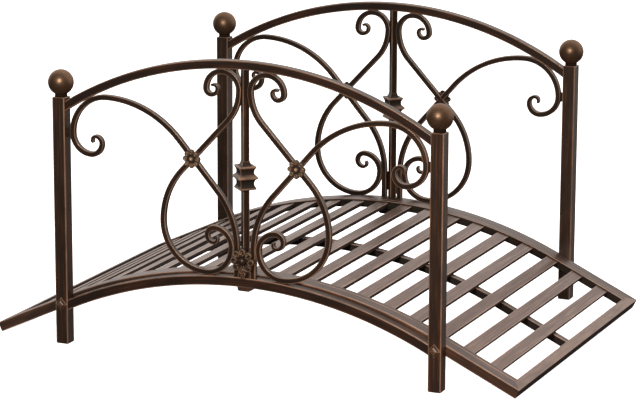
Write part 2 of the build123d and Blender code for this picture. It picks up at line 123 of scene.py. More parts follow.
# Studs on the posts: height of their middles, half their width and height, and how far they stand
# proud
STUD_HEIGHT = 0.077
STUD_HALF_WIDTH = 0.012
STUD_HALF_HEIGHT = 0.0135
STUD_PROUD = 0.0065

# Rounding of the edges, and width of the rubbed margin beside them, which is also a painted highlight
POST_CORNER = 0.0014
POST_END_BEVEL = 0.0012
TUBE_CORNER = 0.0014
ROD_CORNER = 0.0012
SLAT_CORNER = 0.0012
WEAR_HIGHLIGHT_MARGIN = 0.0012
ROD_WEAR_HIGHLIGHT_MARGIN = 0.0005

# Rounding and margin of the small pieces, as shares of half their size
STUD_CORNER_SHARE = 0.06
STUD_MARGIN_SHARE = 0.1
COLLAR_CORNER_SHARE = 0.05
COLLAR_MARGIN_SHARE = 0.06
STUB_CORNER_SHARE = 0.3
STUB_MARGIN_SHARE = 0.2

# Values of the edge attribute: on rubbed edges, also a painted highlight, on plain faces, on sides
# painted dark as painted shade, where a rounding meets the faces beside it, and on the tops of the
# end bars, painted lighter as painted sheen. Slats, end bars, strips and the spine get painted shade
# on the faces whose normals point less far up than the last value.
EDGE_WEAR_AND_HIGHLIGHT = 1
PLAIN = 0
PAINTED_SHADE = -1
WEAR_HIGHLIGHT_AT_FACE = 0.55
END_BAR_TOP_SHEEN = 0.5
SHADE_FACING = 0.3

# Fineness of the meshes, and the cosine of the angle under which two bands are shaded as one curve
CORNER_STEPS = 3
ARCH_STEPS = 96
DECK_STEPS = 120
PATH_STEP = 0.004
LEAST_PATH_STEPS = 2
TURN_STEP = radians(6)
ROUND_STEPS = 72
BALL_STEPS = 36
BEAD_STEPS = 12
SMOOTH_COSINE = cos(radians(38))

QUARTER_TURN = pi / 2
HALF_TURN = pi
FULL_TURN = 2 * pi
HALF_SCROLL = SCROLL_SIZE / 2
BAR_REACH = CENTRE_BAR_SIZE / sqrt(2)

# Signs that mirror a front right piece to each end and side
ENDS = {"left": -1, "right": 1}
SIDES = {"front": 1, "back": -1}


def arc_of(node):
    """Tube size, hub height and top radius of an arched rail, worked out from its CAD box."""
    low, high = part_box(node)
    size = high[1] - low[1]
    drop = high[2] - low[2]
    radius = (CLEAR_HALF ** 2 + drop ** 2 - size ** 2) / (2 * (drop - size))
    return size, high[2] - radius, radius


HANDRAIL_SIZE, HANDRAIL_HUB, HANDRAIL_RADIUS = arc_of("front_handrail")
HANDRAIL_UNDER_RADIUS = HANDRAIL_RADIUS - HANDRAIL_SIZE
LOWER_RAIL_SIZE, LOWER_RAIL_HUB, LOWER_RAIL_RADIUS = arc_of("front_lower_rail")
LOWER_RAIL_TOP = LOWER_RAIL_HUB + LOWER_RAIL_RADIUS
PANEL_HEIGHT = HANDRAIL_HUB + HANDRAIL_UNDER_RADIUS - LOWER_RAIL_TOP
DECK_EDGE_Y = -POST_HIGH[1]
STRIP_OUTER_Y = DECK_EDGE_Y - DECK_RAIL_WIDTH
STRIP_INNER_Y = STRIP_OUTER_Y - DECK_STRIP_WIDTH
DECK_ANGLE = asin(POST_X / DECK_RADIUS)
DECK_RUN = DECK_PAST_POSTS / cos(DECK_ANGLE)
DECK_HUB = DECK_RUN * sin(DECK_ANGLE) - (DECK_RADIUS - DECK_DEPTH) * cos(DECK_ANGLE)
DECK_HALF_LENGTH = DECK_RADIUS * DECK_ANGLE + DECK_RUN
INNER_HALF_LENGTH = DECK_HALF_LENGTH - END_BAR_WIDTH

# Meshes

# A section's outline, anticlockwise: places a and b, normals there, and the edge attribute
Ring = namedtuple("Ring", "a b normal_a normal_b edge")


class Shape:
    """Points and faces of one piece, with a normal at each face corner."""

    def __init__(self):
        self.points = np.empty((0, 3))
        self.grain = np.empty((0, 3))
        self.edge = np.empty(0)
        self.faces = []
        self.normals = []

    def grid(self, points, normals, grain, edge):
        """Adds quads between closed rows of points, and gives the first and last rows.

        The normals are one for each point, or else one for each point at the start and at the end
        of every band between two rows.
        """
        rows, columns = points.shape[:2]
        start = len(self.points)
        self.points = np.concatenate([self.points, points.reshape(-1, 3)])
        self.grain = np.concatenate([self.grain, np.broadcast_to(grain, points.shape).reshape(-1, 3)])
        self.edge = np.concatenate([self.edge, np.broadcast_to(edge, (rows, columns)).ravel()])
        if normals.ndim == 3:
            normals = np.stack([normals[:-1], normals[1:]], 1)
        normals = np.concatenate([normals, normals[:, :, :1]], 2)
        index = start + np.arange(rows * columns).reshape(rows, columns)
        wrapped = np.concatenate([index, index[:, :1]], 1)
        quads = [wrapped[:-1, :-1], wrapped[:-1, 1:], wrapped[1:, 1:], wrapped[1:, :-1]]
        corners = [normals[:, 0, :-1], normals[:, 0, 1:], normals[:, 1, 1:], normals[:, 1, :-1]]
        self.faces += np.stack(quads, -1).reshape(-1, 4).tolist()
        self.normals += np.stack(corners, 2).reshape(-1, 3).tolist()
        return index[0], index[-1]

    def cap(self, row, normal):
        """Closes a row of points with one face that looks along the normal."""
        corners = self.points[row]
        turn = np.cross(corners, np.roll(corners, -1, 0)).sum(0) @ np.asarray(normal)
        row = list(row) if turn > 0 else list(row)[::-1]
        self.faces.append([int(corner) for corner in row])
        self.normals += [tuple(normal)] * len(row)

    def add(self, other):
        """Adds all of another shape."""
        start = len(self.points)
        self.points = np.concatenate([self.points, other.points])
        self.grain = np.concatenate([self.grain, other.grain])
        self.edge = np.concatenate([self.edge, other.edge])
        self.faces += [[corner + start for corner in face] for face in other.faces]
        self.normals += other.normals


def tube(points, normals, grain, edge, first, last):
    """A shape of closed rows of points, with end faces that look along the first and last normals."""
    shape = Shape()
    first_row, last_row = shape.grid(points, normals, grain, edge)
    shape.cap(first_row, first)
    shape.cap(last_row, last)
    return shape


def stacked(ring, profile, centre, axes):
    """A form whose section is the ring, scaled to each (size, height, edge) of a profile.

    The axes are the directions and lengths of the ring's a and b and of the height. Bands that
    meet at a slight angle are shaded as one curve.
    """
    along_a, along_b, along_height = [np.array(axis, float) for axis in axes]
    size, height, worn = np.array(profile, float).T[:, :, None, None]
    a, b = ring.a[:, None], ring.b[:, None]
    points = np.array(centre) + size * (a * along_a + b * along_b) + height * along_height
    slopes = np.diff(np.array(profile, float)[:, :2], axis=0)
    facing = np.stack([slopes[:, 1], -slopes[:, 0]], 1)
    facing /= np.linalg.norm(facing, axis=1, keepdims=True)
    ends = np.repeat(facing[:, None], 2, 1)
    for band in range(len(facing) - 1):
        if facing[band] @ facing[band + 1] > SMOOTH_COSINE:
            ends[band, 1] = ends[band + 1, 0] = facing[band] + facing[band + 1]
    sideways = ring.normal_a[:, None] * along_a / (along_a @ along_a)
    sideways = sideways + ring.normal_b[:, None] * along_b / (along_b @ along_b)
    upward = along_height / (along_height @ along_height)
    normals = ends[:, :, :1, None] * sideways + ends[:, :, 1:, None] * upward
    grain = points - np.array(centre)
    corner_wear_highlight = ring.edge[:, None]
    edge = np.where(corner_wear_highlight > 0, np.maximum(worn, corner_wear_highlight), worn)[:, :, 0]
    return tube(points, normals, grain, edge, -along_height, along_height)


def outline(width, depth, corner, margin=WEAR_HIGHLIGHT_MARGIN):
    """A rounded rectangle, with its corners and a margin beside them rubbed, also a painted highlight.
    """
    rows = []
    flat_a = width / 2 - corner
    flat_b = depth / 2 - corner
    signs = [(1, 1), (-1, 1), (-1, -1), (1, -1)]
    for quarter, (sign_a, sign_b) in enumerate(signs):
        hub_a, hub_b = sign_a * flat_a, sign_b * flat_b
        first = quarter * QUARTER_TURN
        flats = (flat_b, flat_a) if quarter % 2 == 0 else (flat_a, flat_b)
        before, after = [min(margin, flat) for flat in flats]
        stops = [(first, -before, PLAIN)]
        for step in range(CORNER_STEPS + 1):
            worn = EDGE_WEAR_AND_HIGHLIGHT if 0 < step < CORNER_STEPS else WEAR_HIGHLIGHT_AT_FACE
            stops.append((first + step * QUARTER_TURN / CORNER_STEPS, 0, worn))
        stops.append((first + QUARTER_TURN, after, PLAIN))
        for turn, past, worn in stops:
            a = hub_a + corner * cos(turn) - past * sin(turn)
            b = hub_b + corner * sin(turn) + past * cos(turn)
            rows.append((a, b, cos(turn), sin(turn), worn))
    return Ring(*np.array(rows).T)


def unit_outline(corner, margin):
    """A rounded square of half width 1."""
    return outline(2, 2, corner, margin)


def circle():
    """A round section of radius 1."""
    turn = np.linspace(0, FULL_TURN, ROUND_STEPS, endpoint=False)
    return Ring(np.cos(turn), np.sin(turn), np.cos(turn), np.sin(turn), 0 * turn)


def across(*values):
    """Stacks arrays of x, y and z, whatever their shapes, as points."""
    return np.stack(np.broadcast_arrays(*values), -1)


# The pieces made so far, by name, and how far the grain is shifted from each to the next, so that
# no two have the same streaks
OBJECTS = {}
GRAIN_SHIFT = 0.731


def add_object(name, data):
    """A new object in the scene."""
    built = bpy.data.objects.new(name, data)
    bpy.context.scene.collection.objects.link(built)
    return built


def piece(name, shape, slot, nodes=(), mirror=(1, 1)):
    """Makes a shape, mirrored in x or y where a sign is negative, into an object of the bridge."""
    signs = np.array([mirror[0], mirror[1], 1])
    faces = shape.faces
    normals = np.array(shape.normals) * signs
    if mirror[0] * mirror[1] < 0:
        faces = [face[::-1] for face in faces]
        stops = np.cumsum([len(face) for face in faces])[:-1]
        normals = np.concatenate([group[::-1] for group in np.split(normals, stops)])
    mesh = bpy.data.meshes.new(name)
    mesh.from_pydata((shape.points * signs).tolist(), [], faces)
    mesh.polygons.foreach_set("use_smooth", [True] * len(faces))
    own_grain = shape.grain + np.array([len(OBJECTS) * GRAIN_SHIFT, 0, 0])
    grain = mesh.attributes.new("grain", "FLOAT_VECTOR", "POINT")
    grain.data.foreach_set("vector", own_grain.ravel())
    edge = mesh.attributes.new("edge", "FLOAT", "POINT")
    edge.data.foreach_set("value", shape.edge)
    mesh.normals_split_custom_set((normals / np.linalg.norm(normals, axis=1, keepdims=True)).tolist())
    built = add_object(name, mesh)
    mesh.materials.append(MATERIALS[slot])
    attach(built, "root")
    if nodes:
        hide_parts(*nodes)
    OBJECTS[name] = built


def four(name, shape, slot, replaced=True):
    """Makes a front right piece and its mirror images at the other corners."""
    for side, sign_y in SIDES.items():
        for end, sign_x in ENDS.items():
            node = f"{side}_{end}_{name}"
            piece(f"{node}_visual", shape, slot, [node] if replaced else [], (sign_x, sign_y))


def two(name, shape, slot, replaced=True):
    """Makes a front piece and its mirror image at the back."""
    for side, sign_y in SIDES.items():
        node = f"{side}_{name}"
        piece(f"{node}_visual", shape, slot, [node] if replaced else [], (1, sign_y))


# Materials


def colour(r, g, b):
    """A scene-linear colour from values up to 255, by the curve of the sRGB standard."""
    channels = [c / 255 for c in (r, g, b)]
    return tuple(c / 12.92 if c < 0.04045 else ((c + 0.055) / 1.055) ** 2.4 for c in channels) + (1.0,)


class Nodes:
    """Short calls to add and link the nodes of a material or a world."""

    def __init__(self, owner):
        owner.use_nodes = True
        self.owner = owner
        self.tree = owner.node_tree

    def add(self, kind, inputs=None, **settings):
        """A node with its settings, and its inputs set to values or linked from sockets."""
        node = self.tree.nodes.new(kind)
        for key, value in settings.items():
            setattr(node, key, value)
        return self.fill(node, inputs or {})

    def fill(self, node, inputs):
        """Sets a node's inputs to values, or links them from sockets."""
        for key, value in inputs.items():
            if isinstance(value, bpy.types.NodeSocket):
                self.tree.links.new(value, node.inputs[key])
            else:
                node.inputs[key].default_value = value
        return node

    def noise(self, vector, cells, detail, roughness=0.55):
        """Noise on a vector, at this many cells to the metre along each of its axes."""
        scaled = self.add("ShaderNodeVectorMath", {0: vector, 1: cells}, operation="MULTIPLY")
        inputs = {"Vector": scaled.outputs[0], "Scale": 1.0, "Detail": detail, "Roughness": roughness}
        return self.add("ShaderNodeTexNoise", inputs).outputs["Fac"]

    def between(self, value, low, high, to_low=0.0, to_high=1.0):
        """A value remapped from one range to another, clamped."""
        inputs = {"Value": value, "From Min": low, "From Max": high, "To Min": to_low, "To Max": to_high}
        return self.add("ShaderNodeMapRange", inputs).outputs["Result"]

    def math(self, operation, a, b):
        """A sum, product or the like of two values."""
        return self.add("ShaderNodeMath", {0: a, 1: b}, operation=operation).outputs[0]

    def mix(self, factor, a, b):
        """A colour mixed from a to b by a factor."""
        inputs = {"Fac": factor, "Color1": a, "Color2": b}
        return self.add("ShaderNodeMixRGB", inputs).outputs["Color"]


# A finish: sRGB of the dark coat, of the coppery streaks and of the rubbed edges, also a painted
# highlight, the shares of streaks and of rubbing, the roughness and the metallic share
Finish = namedtuple("Finish", "coat streaks rubbed streaked worn roughness metallic")
FINISHES = {
    "post_tube": Finish((42, 33, 28), (100, 71, 52), (172, 140, 120), 0.62, 0.85, 0.34, 0.1),
    "rail_tube": Finish((36, 27, 23), (112, 72, 52), (172, 142, 124), 0.42, 0.80, 0.34, 0.1),
    "ornament": Finish((33, 26, 22), (110, 78, 56), (176, 150, 132), 0.42, 0.70, 0.32, 0.1),
    "rosette": Finish((38, 29, 23), (112, 82, 58), (184, 160, 138), 0.40, 0.95, 0.32, 0.1),
    "finial": Finish((117, 92, 74), (158, 125, 101), (172, 140, 114), 0.60, 0.30, 0.40, 0.85),
    # The deck's coats, the slats' most of all, are lighter than the rest: a painted sheen of the
    # overhead light on their tops
    "deck_frame": Finish((60, 46, 40), (128, 92, 72), (178, 152, 138), 0.55, 0.85, 0.34, 0.1),
    "deck_slat": Finish((104, 85, 77), (160, 134, 122), (192, 168, 156), 0.70, 0.90, 0.34, 0.1),
}
# A near-black: scratches darken towards it as grime, hollows darken towards it, and sides and undersides
# as painted shade
GRIME_AND_SHADE = (18, 13, 11)
SPECULAR_TINT = (1.0, 0.91, 0.85, 1.0)

# Noises along the grain: cells to the metre, and octaves of detail
STREAK_CELLS, STREAK_DETAIL = (9.0, 420.0, 420.0), 4.0
SCRATCH_CELLS, SCRATCH_DETAIL = (28.0, 1500.0, 1500.0), 3.0
CLOUD_CELLS, CLOUD_DETAIL = (14.0, 45.0, 45.0), 3.0

# Ranges of the noises behind streaks, scratches and patchy wear with its painted highlight, and the
# least and most that is left where it isn't 0 to 1
STREAK_RANGE = (0.45, 0.66)
STREAK_CLOUD_RANGE = (0.36, 0.64)
SCRATCH_RANGE = (0.3, 0.7, 0.55, 1.0)
WEAR_HIGHLIGHT_CLOUD_RANGE = (0.34, 0.60, 0.5, 1.0)
WEAR_HIGHLIGHT_SCRATCH_RANGE = (0.30, 0.62, 0.45, 1.0)
SCRATCH_DEPTH = 0.0004
SCRATCH_STRENGTH = 0.12

# Roughness: the range of the streaks' noise, how much duller and glossier the coat is at its ends,
# and what the sides painted dark as painted shade add, with the darker hollows. The last value is
# how far those are darkened towards the near-black of grime and painted shade.
GLOSS_RANGE = (0.3, 0.7)
DULLER = 0.08
GLOSSIER = 0.06
HIDDEN_ROUGHNESS = 0.5
SHADE_AND_GRIME_SHARE = 0.85


def bronze(slot):
    """Brushed antique bronze: a dark coat, coppery streaks along the bar and rubbed edges that are also
    a painted highlight, with painted shade on sides and undersides.
    """
    finish = FINISHES[slot]
    nodes = Nodes(bpy.data.materials.new(f"bronze_{slot}"))
    grain = nodes.add("ShaderNodeAttribute", attribute_name="grain").outputs["Vector"]
    edge = nodes.add("ShaderNodeAttribute", attribute_name="edge").outputs["Fac"]
    streak = nodes.noise(grain, STREAK_CELLS, STREAK_DETAIL)
    scratch = nodes.noise(grain, SCRATCH_CELLS, SCRATCH_DETAIL)
    cloud = nodes.noise(grain, CLOUD_CELLS, CLOUD_DETAIL)
    # Negative edge values mark painted shade on sides and undersides, and darker hollows and joints
    shade_and_grime_mask = nodes.between(edge, PLAIN, PAINTED_SHADE)

    streaky = nodes.between(streak, *STREAK_RANGE)
    streak_share = nodes.math("MULTIPLY", streaky, nodes.between(cloud, *STREAK_CLOUD_RANGE))
    streak_share = nodes.math("MULTIPLY", streak_share, finish.streaked)
    coat = nodes.mix(streak_share, colour(*finish.coat), colour(*finish.streaks))
    brushed = nodes.mix(nodes.between(scratch, *SCRATCH_RANGE), colour(*GRIME_AND_SHADE), coat)
    # Rubbed wear on edges and raised places, painted brighter as a painted highlight too
    wear_highlight_mask = nodes.between(edge, PLAIN, EDGE_WEAR_AND_HIGHLIGHT)
    wear_highlight_mask = nodes.math("MULTIPLY", wear_highlight_mask, nodes.between(cloud, *WEAR_HIGHLIGHT_CLOUD_RANGE))
    wear_highlight_mask = nodes.math("MULTIPLY", wear_highlight_mask, nodes.between(scratch, *WEAR_HIGHLIGHT_SCRATCH_RANGE))
    rubbed = nodes.mix(nodes.math("MULTIPLY", wear_highlight_mask, finish.worn), brushed, colour(*finish.rubbed))
    # Painted shade darkens sides and undersides, and hollows and joints darken, towards the near-black
    shade_and_grime_coat = nodes.mix(nodes.math("MULTIPLY", shade_and_grime_mask, SHADE_AND_GRIME_SHARE), rubbed, colour(*GRIME_AND_SHADE))

    dullest, glossiest = finish.roughness + DULLER, finish.roughness - GLOSSIER
    gloss = nodes.between(streak, *GLOSS_RANGE, dullest, glossiest)
    dulled = nodes.math("ADD", gloss, nodes.math("MULTIPLY", shade_and_grime_mask, HIDDEN_ROUGHNESS))
    scratches = {"Height": scratch, "Strength": SCRATCH_STRENGTH, "Distance": SCRATCH_DEPTH}
    bump = nodes.add("ShaderNodeBump", scratches).outputs["Normal"]
    look = {"Base Color": shade_and_grime_coat, "Roughness": dulled, "Normal": bump}
    look.update({"Specular Tint": SPECULAR_TINT, "Metallic": finish.metallic})
    nodes.fill(nodes.tree.nodes["Principled BSDF"], look)
    return nodes.owner


MATERIALS = {slot: bronze(slot) for slot in FINISHES}

# Posts, rails and finials


def upright_axes(turn):
    """Directions of a section's a and b and of its height, turned about an upright axis."""
    return (cos(turn), sin(turn), 0), (-sin(turn), cos(turn), 0), (0, 0, 1)


def upright_bar(x, y, low, high, size, corner, turn=0.0, bevel=0.0):
    """An upright square bar, turned about its own axis, with bevelled ends."""
    half = size / 2
    profile = [(half, low + bevel, PLAIN), (half, high - bevel, PLAIN)]
    if bevel:
        profile = [(half - bevel, low, EDGE_WEAR_AND_HIGHLIGHT)] + profile + [(half - bevel, high, EDGE_WEAR_AND_HIGHLIGHT)]
    ring = unit_outline(corner / half, WEAR_HIGHLIGHT_MARGIN / half)
    shape = stacked(ring, profile, (x, y, 0), upright_axes(turn))
    shape.grain = shape.grain[:, [2, 0, 1]]
    return shape


def ball_finial():
    """A ball in a short collar, turned about the post's axis, with painted shade on the collar and the
    ball's underside.
    """
    joint = asin(BALL_COLLAR_RADIUS / BALL_RADIUS)
    turns = np.linspace(joint, HALF_TURN - TURN_STEP / 2, BALL_STEPS)
    profile = [(BALL_COLLAR_RADIUS, 0, PAINTED_SHADE)]
    centre = NECK_HEIGHT + BALL_RADIUS
    for turn in turns:
        # The ball's underside is painted darker towards the collar, as painted shade
        shaded = -min(1, max(0, BALL_SHADE * cos(2 * turn))) if turn < QUARTER_TURN else PLAIN
        profile.append((BALL_RADIUS * sin(turn), centre - BALL_RADIUS * cos(turn), shaded))
    shape = stacked(circle(), profile, (POST_X, RAILING_Y, POST_TOP), upright_axes(0))
    shape.grain = shape.grain[:, [0, 2, 1]]
    return shape


# A stud's section out from the post: share of its size, share of how far it stands proud, and the
# edge attribute
# The stud is painted darker at its foot and its step; its ridges get rubbed wear that is also a painted
# highlight
STUD_PROFILE = [
    (1.00, 0.00, -0.5),
    (1.00, 0.25, 0.7),
    (0.90, 0.42, 0.4),
    (0.62, 0.48, -0.9),
    (0.58, 0.72, 0.6),
    (0.22, 0.96, 0.2),
    (0.05, 1.00, 0.4),
]


def stud():
    """The diamond-shaped stud on the front right post: a low pyramid on a bevelled plate."""
    across_half, up_half = STUD_HALF_WIDTH / 2, STUD_HALF_HEIGHT / 2
    axes = (across_half, 0, up_half), (-across_half, 0, up_half), (0, -STUD_PROUD, 0)
    ring = unit_outline(STUD_CORNER_SHARE, STUD_MARGIN_SHARE)
    return stacked(ring, STUD_PROFILE, (POST_X, POST_FRONT, STUD_HEIGHT), axes)


def arched_rail(size, hub, top_radius):
    """The front rail of this arc, cut upright at the posts."""
    ring = outline(size, size, TUBE_CORNER)
    radius = top_radius - size / 2 + ring.a
    share = np.linspace(-1, 1, ARCH_STEPS + 1)[:, None]
    angle = share * np.arcsin(CLEAR_HALF / radius)
    points = across(radius * np.sin(angle), RAILING_Y - ring.b, hub + radius * np.cos(angle))
    normals = across(ring.normal_a * np.sin(angle), -ring.normal_b, ring.normal_a * np.cos(angle))
    grain = across(top_radius * angle, ring.a, ring.b)
    return tube(points, normals, grain, ring.edge, (-1, 0, 0), (1, 0, 0))


# The collar's section up its height: full width, height over its middle, and the edge attribute
# The collar's underside is painted dark as painted shade and its hollows darker; its rims get rubbed
# wear that is also a painted highlight
COLLAR_PROFILE = [
    (0.0140, -0.0222, -1.0),
    (0.0290, -0.0220, -1.0),
    (0.0325, -0.0210, 0.6),
    (0.0330, -0.0195, 1.0),
    (0.0305, -0.0175, 0.0),
    (0.0275, -0.0150, -0.6),
    (0.0258, -0.0120, -1.0),
    (0.0260, -0.0080, -0.8),
    (0.0290, -0.0045, -0.4),
    (0.0330, -0.0025, 0.0),
    (0.0370, -0.0015, 0.8),
    (0.0374, 0.0005, 1.0),
    (0.0360, 0.0022, 1.0),
    (0.0310, 0.0046, 0.3),
    (0.0300, 0.0052, 0.6),
    (0.0270, 0.0065, -0.3),
    (0.0256, 0.0090, -0.8),
    (0.0258, 0.0120, -0.8),
    (0.0275, 0.0150, -0.3),
    (0.0305, 0.0175, 0.2),
    (0.0325, 0.0195, 1.0),
    (0.0315, 0.0210, 1.0),
    (0.0290, 0.0220, 0.5),
    (0.0205, 0.0220, -0.6),
    (0.0170, 0.0235, 0.0),
    (0.0142, 0.0270, 0.0),
    (0.0133, 0.0300, 0.3),
]


def collar():
    """A square moulding set cornerwise on the centre bar: three sharp rims with hollows between."""
    profile = [(width / 2, height, edge) for width, height, edge in COLLAR_PROFILE]
    centre = (0, RAILING_Y, LOWER_RAIL_TOP + COLLAR_RISE_SHARE * PANEL_HEIGHT)
    ring = unit_outline(COLLAR_CORNER_SHARE, COLLAR_MARGIN_SHARE)
    return stacked(ring, profile, centre, upright_axes(CENTRE_BAR_TURN))


# Scrolls

# A path is a start (x, z), a heading and moves (size, turn), as in the part's source: a
# straight run where turn is 0, and otherwise an arc that turns to the left where positive.


def height_on_arc(hub, radius, x):
    """Height of a circular arc about (0, hub) at the place x along the bridge."""
    return hub + sqrt(radius * radius - x * x)


def beside(place, heading, offset):
    """The point at this offset to the left of a place on a path."""
    return (place[0] - offset * sin(heading), place[1] + offset * cos(heading))


def advance(place, heading, move, share):
    """Place and heading after this share of a move."""
    size, turn = move
    if turn == 0:
        return (place[0] + share * size * cos(heading), place[1] + share * size * sin(heading)), heading
    side = size if turn > 0 else -size
    hub = beside(place, heading, side)
    new_heading = heading + share * turn
    return beside(hub, new_heading, -side), new_heading


INNER_CURL = INNER_TOP_CURL_SHARE * PANEL_HEIGHT
INNER_CURL_X = CENTRE_BAR_SIZE / 2 + HALF_SCROLL + INNER_CURL
INNER_CURL_REACH = HANDRAIL_UNDER_RADIUS - WELD_GAP - HALF_SCROLL - INNER_CURL
INNER_CURL_Z = height_on_arc(HANDRAIL_HUB, INNER_CURL_REACH, INNER_CURL_X)
INNER_LOOP = INNER_LOOP_INNER_SHARE * PANEL_HEIGHT
INNER_LOOP_X = OUTER_TAIL_OFFSET + SCROLL_SIZE + WELD_GAP + INNER_LOOP
INNER_LOOP_REACH = LOWER_RAIL_RADIUS + WELD_GAP + HALF_SCROLL + INNER_LOOP
INNER_LOOP_Z = height_on_arc(LOWER_RAIL_HUB, INNER_LOOP_REACH, INNER_LOOP_X)
OUTER_CURL = OUTER_CURL_SHARE * CLEAR_HALF
OUTER_CURL_X = CLEAR_HALF - OUTER_CURL_OFF_POST - HALF_SCROLL - OUTER_CURL
OUTER_CURL_REACH = HANDRAIL_UNDER_RADIUS - WELD_GAP - HALF_SCROLL - OUTER_CURL
OUTER_CURL_Z = height_on_arc(HANDRAIL_HUB, OUTER_CURL_REACH, OUTER_CURL_X)


def inner_scroll_path():
    """The right inner scroll, from the tip of its top curl to the tip inside its loop."""
    neck = INNER_NECK_SHARE * PANEL_HEIGHT
    shoulder = INNER_SHOULDER_SHARE * PANEL_HEIGHT
    loop = INNER_LOOP_OUTER_SHARE * PANEL_HEIGHT
    neck_hub = (INNER_CURL_X - INNER_CURL + neck, INNER_CURL_Z)
    shoulder_hub = (INNER_LOOP_X + loop - shoulder, INNER_LOOP_Z - INNER_LOOP + loop)
    step_x = shoulder_hub[0] - neck_hub[0]
    step_z = shoulder_hub[1] - neck_hub[1]
    distance = hypot(step_x, step_z)
    lean = asin((neck + shoulder) / distance)
    bend = atan2(step_z, step_x) + lean + QUARTER_TURN
    top_curl = [(INNER_CURL, -HALF_TURN), (INNER_TOP_EYE_SHARE * PANEL_HEIGHT, -HALF_TURN)]
    top_curl += [(SCROLL_TIP_RADIUS, -SCROLL_TIP_TURN)]
    place, heading = (INNER_CURL_X - INNER_CURL, INNER_CURL_Z), QUARTER_TURN
    for move in top_curl:
        place, heading = advance(place, heading, move, 1)
    moves = [(size, -turn) for size, turn in reversed(top_curl)]
    moves += [(neck, bend), (distance * cos(lean), 0), (shoulder, -bend)]
    feet = [INNER_FOOT_CURL_SHARE, INNER_FOOT_TURN_SHARE, INNER_FOOT_EYE_SHARE]
    coils = [loop, INNER_LOOP] + [share * PANEL_HEIGHT for share in feet]
    moves += [(radius, -QUARTER_TURN) for radius in coils]
    moves += [(SCROLL_TIP_RADIUS, -SCROLL_TIP_TURN)]
    return place, heading + HALF_TURN, moves


def outer_scroll_path():
    """The right outer scroll, from its foot on the lower rail to the tip of its curl."""
    foot_z = height_on_arc(LOWER_RAIL_HUB, LOWER_RAIL_RADIUS, OUTER_TAIL_OFFSET - HALF_SCROLL)
    arch_top = OUTER_CURL_Z + OUTER_CURL
    reach = min(arch_top - INNER_LOOP_Z, OUTER_WIDTH_SHARE * (OUTER_CURL_X - OUTER_TAIL_OFFSET))
    bend = OUTER_BEND_SHARE * reach
    arch = OUTER_ARCH_SHARE * reach
    step_x = OUTER_CURL_X - OUTER_TAIL_OFFSET - bend
    step_z = arch_top - arch - INNER_LOOP_Z
    distance = hypot(step_x, step_z)
    lean = asin((arch - bend) / distance)
    heading = atan2(step_z, step_x) + lean
    moves = [(INNER_LOOP_Z - foot_z, 0), (bend, heading - QUARTER_TURN)]
    moves += [(distance * cos(lean), 0), (arch, -heading)]
    shares = [OUTER_CURL_SHARE, OUTER_CURL_LOWER_SHARE, OUTER_EYE_SHARE, OUTER_EYE_INNER_SHARE]
    moves += [(share * CLEAR_HALF, -QUARTER_TURN) for share in shares]
    moves += [(SCROLL_TIP_RADIUS, -SCROLL_TIP_TURN)]
    return (OUTER_TAIL_OFFSET, foot_z), QUARTER_TURN, moves


def crossing():
    """Where the last straight runs of an inner and an outer scroll, the diagonals, cross, as (x, z)."""
    runs = []
    for place, heading, moves in (inner_scroll_path(), outer_scroll_path()):
        for move in moves:
            if move[1] == 0:
                run = place, heading
            place, heading = advance(place, heading, move, 1)
        runs.append(run)
    ((a_x, a_z), a_heading), ((b_x, b_z), b_heading) = runs
    turn = sin(a_heading - b_heading)
    along = ((a_z - b_z) * cos(b_heading) - (a_x - b_x) * sin(b_heading)) / -turn
    return a_x + along * cos(a_heading), a_z + along * sin(a_heading)


# One section of a rod: its place, heading, distance along the rod, width, the scale of a rounded
# nose and how far the nose's normal leans along the rod
Section = namedtuple("Section", "x z heading distance width scale lean")
NOSE_TURNS = [radians(turn) for turn in (30, 52, 72)]


def rod(path, start_width, end_width, depth):
    """A square rod along a path in the front railing, with narrowed and rounded ends."""
    place, heading, moves = path
    rows = []
    travelled = 0.0
    for index, (size, turn) in enumerate(moves):
        length = size if turn == 0 else size * abs(turn)
        steps = max(LEAST_PATH_STEPS, ceil(length / PATH_STEP), ceil(abs(turn) / TURN_STEP))
        for step in range(0 if index == 0 else 1, steps + 1):
            share = step / steps
            (x, z), way = advance(place, heading, (size, turn), share)
            rows.append(Section(x, z, way, travelled + share * length, SCROLL_SIZE, 1.0, 0.0))
        travelled += length
        place, heading = advance(place, heading, (size, turn), 1)
    for index, row in enumerate(rows):
        at_start = max(0, 1 - row.distance / TAPER_LENGTH)
        at_end = max(0, 1 - (travelled - row.distance) / TAPER_LENGTH)
        narrowed = at_start * (SCROLL_SIZE - start_width) + at_end * (SCROLL_SIZE - end_width)
        rows[index] = row._replace(width=SCROLL_SIZE - narrowed)
    if start_width < SCROLL_SIZE:
        rows = nose(rows[0], -1)[::-1] + rows
    if end_width < SCROLL_SIZE:
        rows += nose(rows[-1], 1)
    return swept(rows, depth)


def nose(section, direction):
    """Sections that close a rod's tip in a round nose, beyond its last section."""
    rows = []
    for turn in NOSE_TURNS:
        reach = direction * section.width / 2 * sin(turn)
        x = section.x + reach * cos(section.heading)
        z = section.z + reach * sin(section.heading)
        distance = section.distance + reach
        lean = direction * sin(turn)
        rows.append(section._replace(x=x, z=z, distance=distance, scale=cos(turn), lean=lean))
    return rows


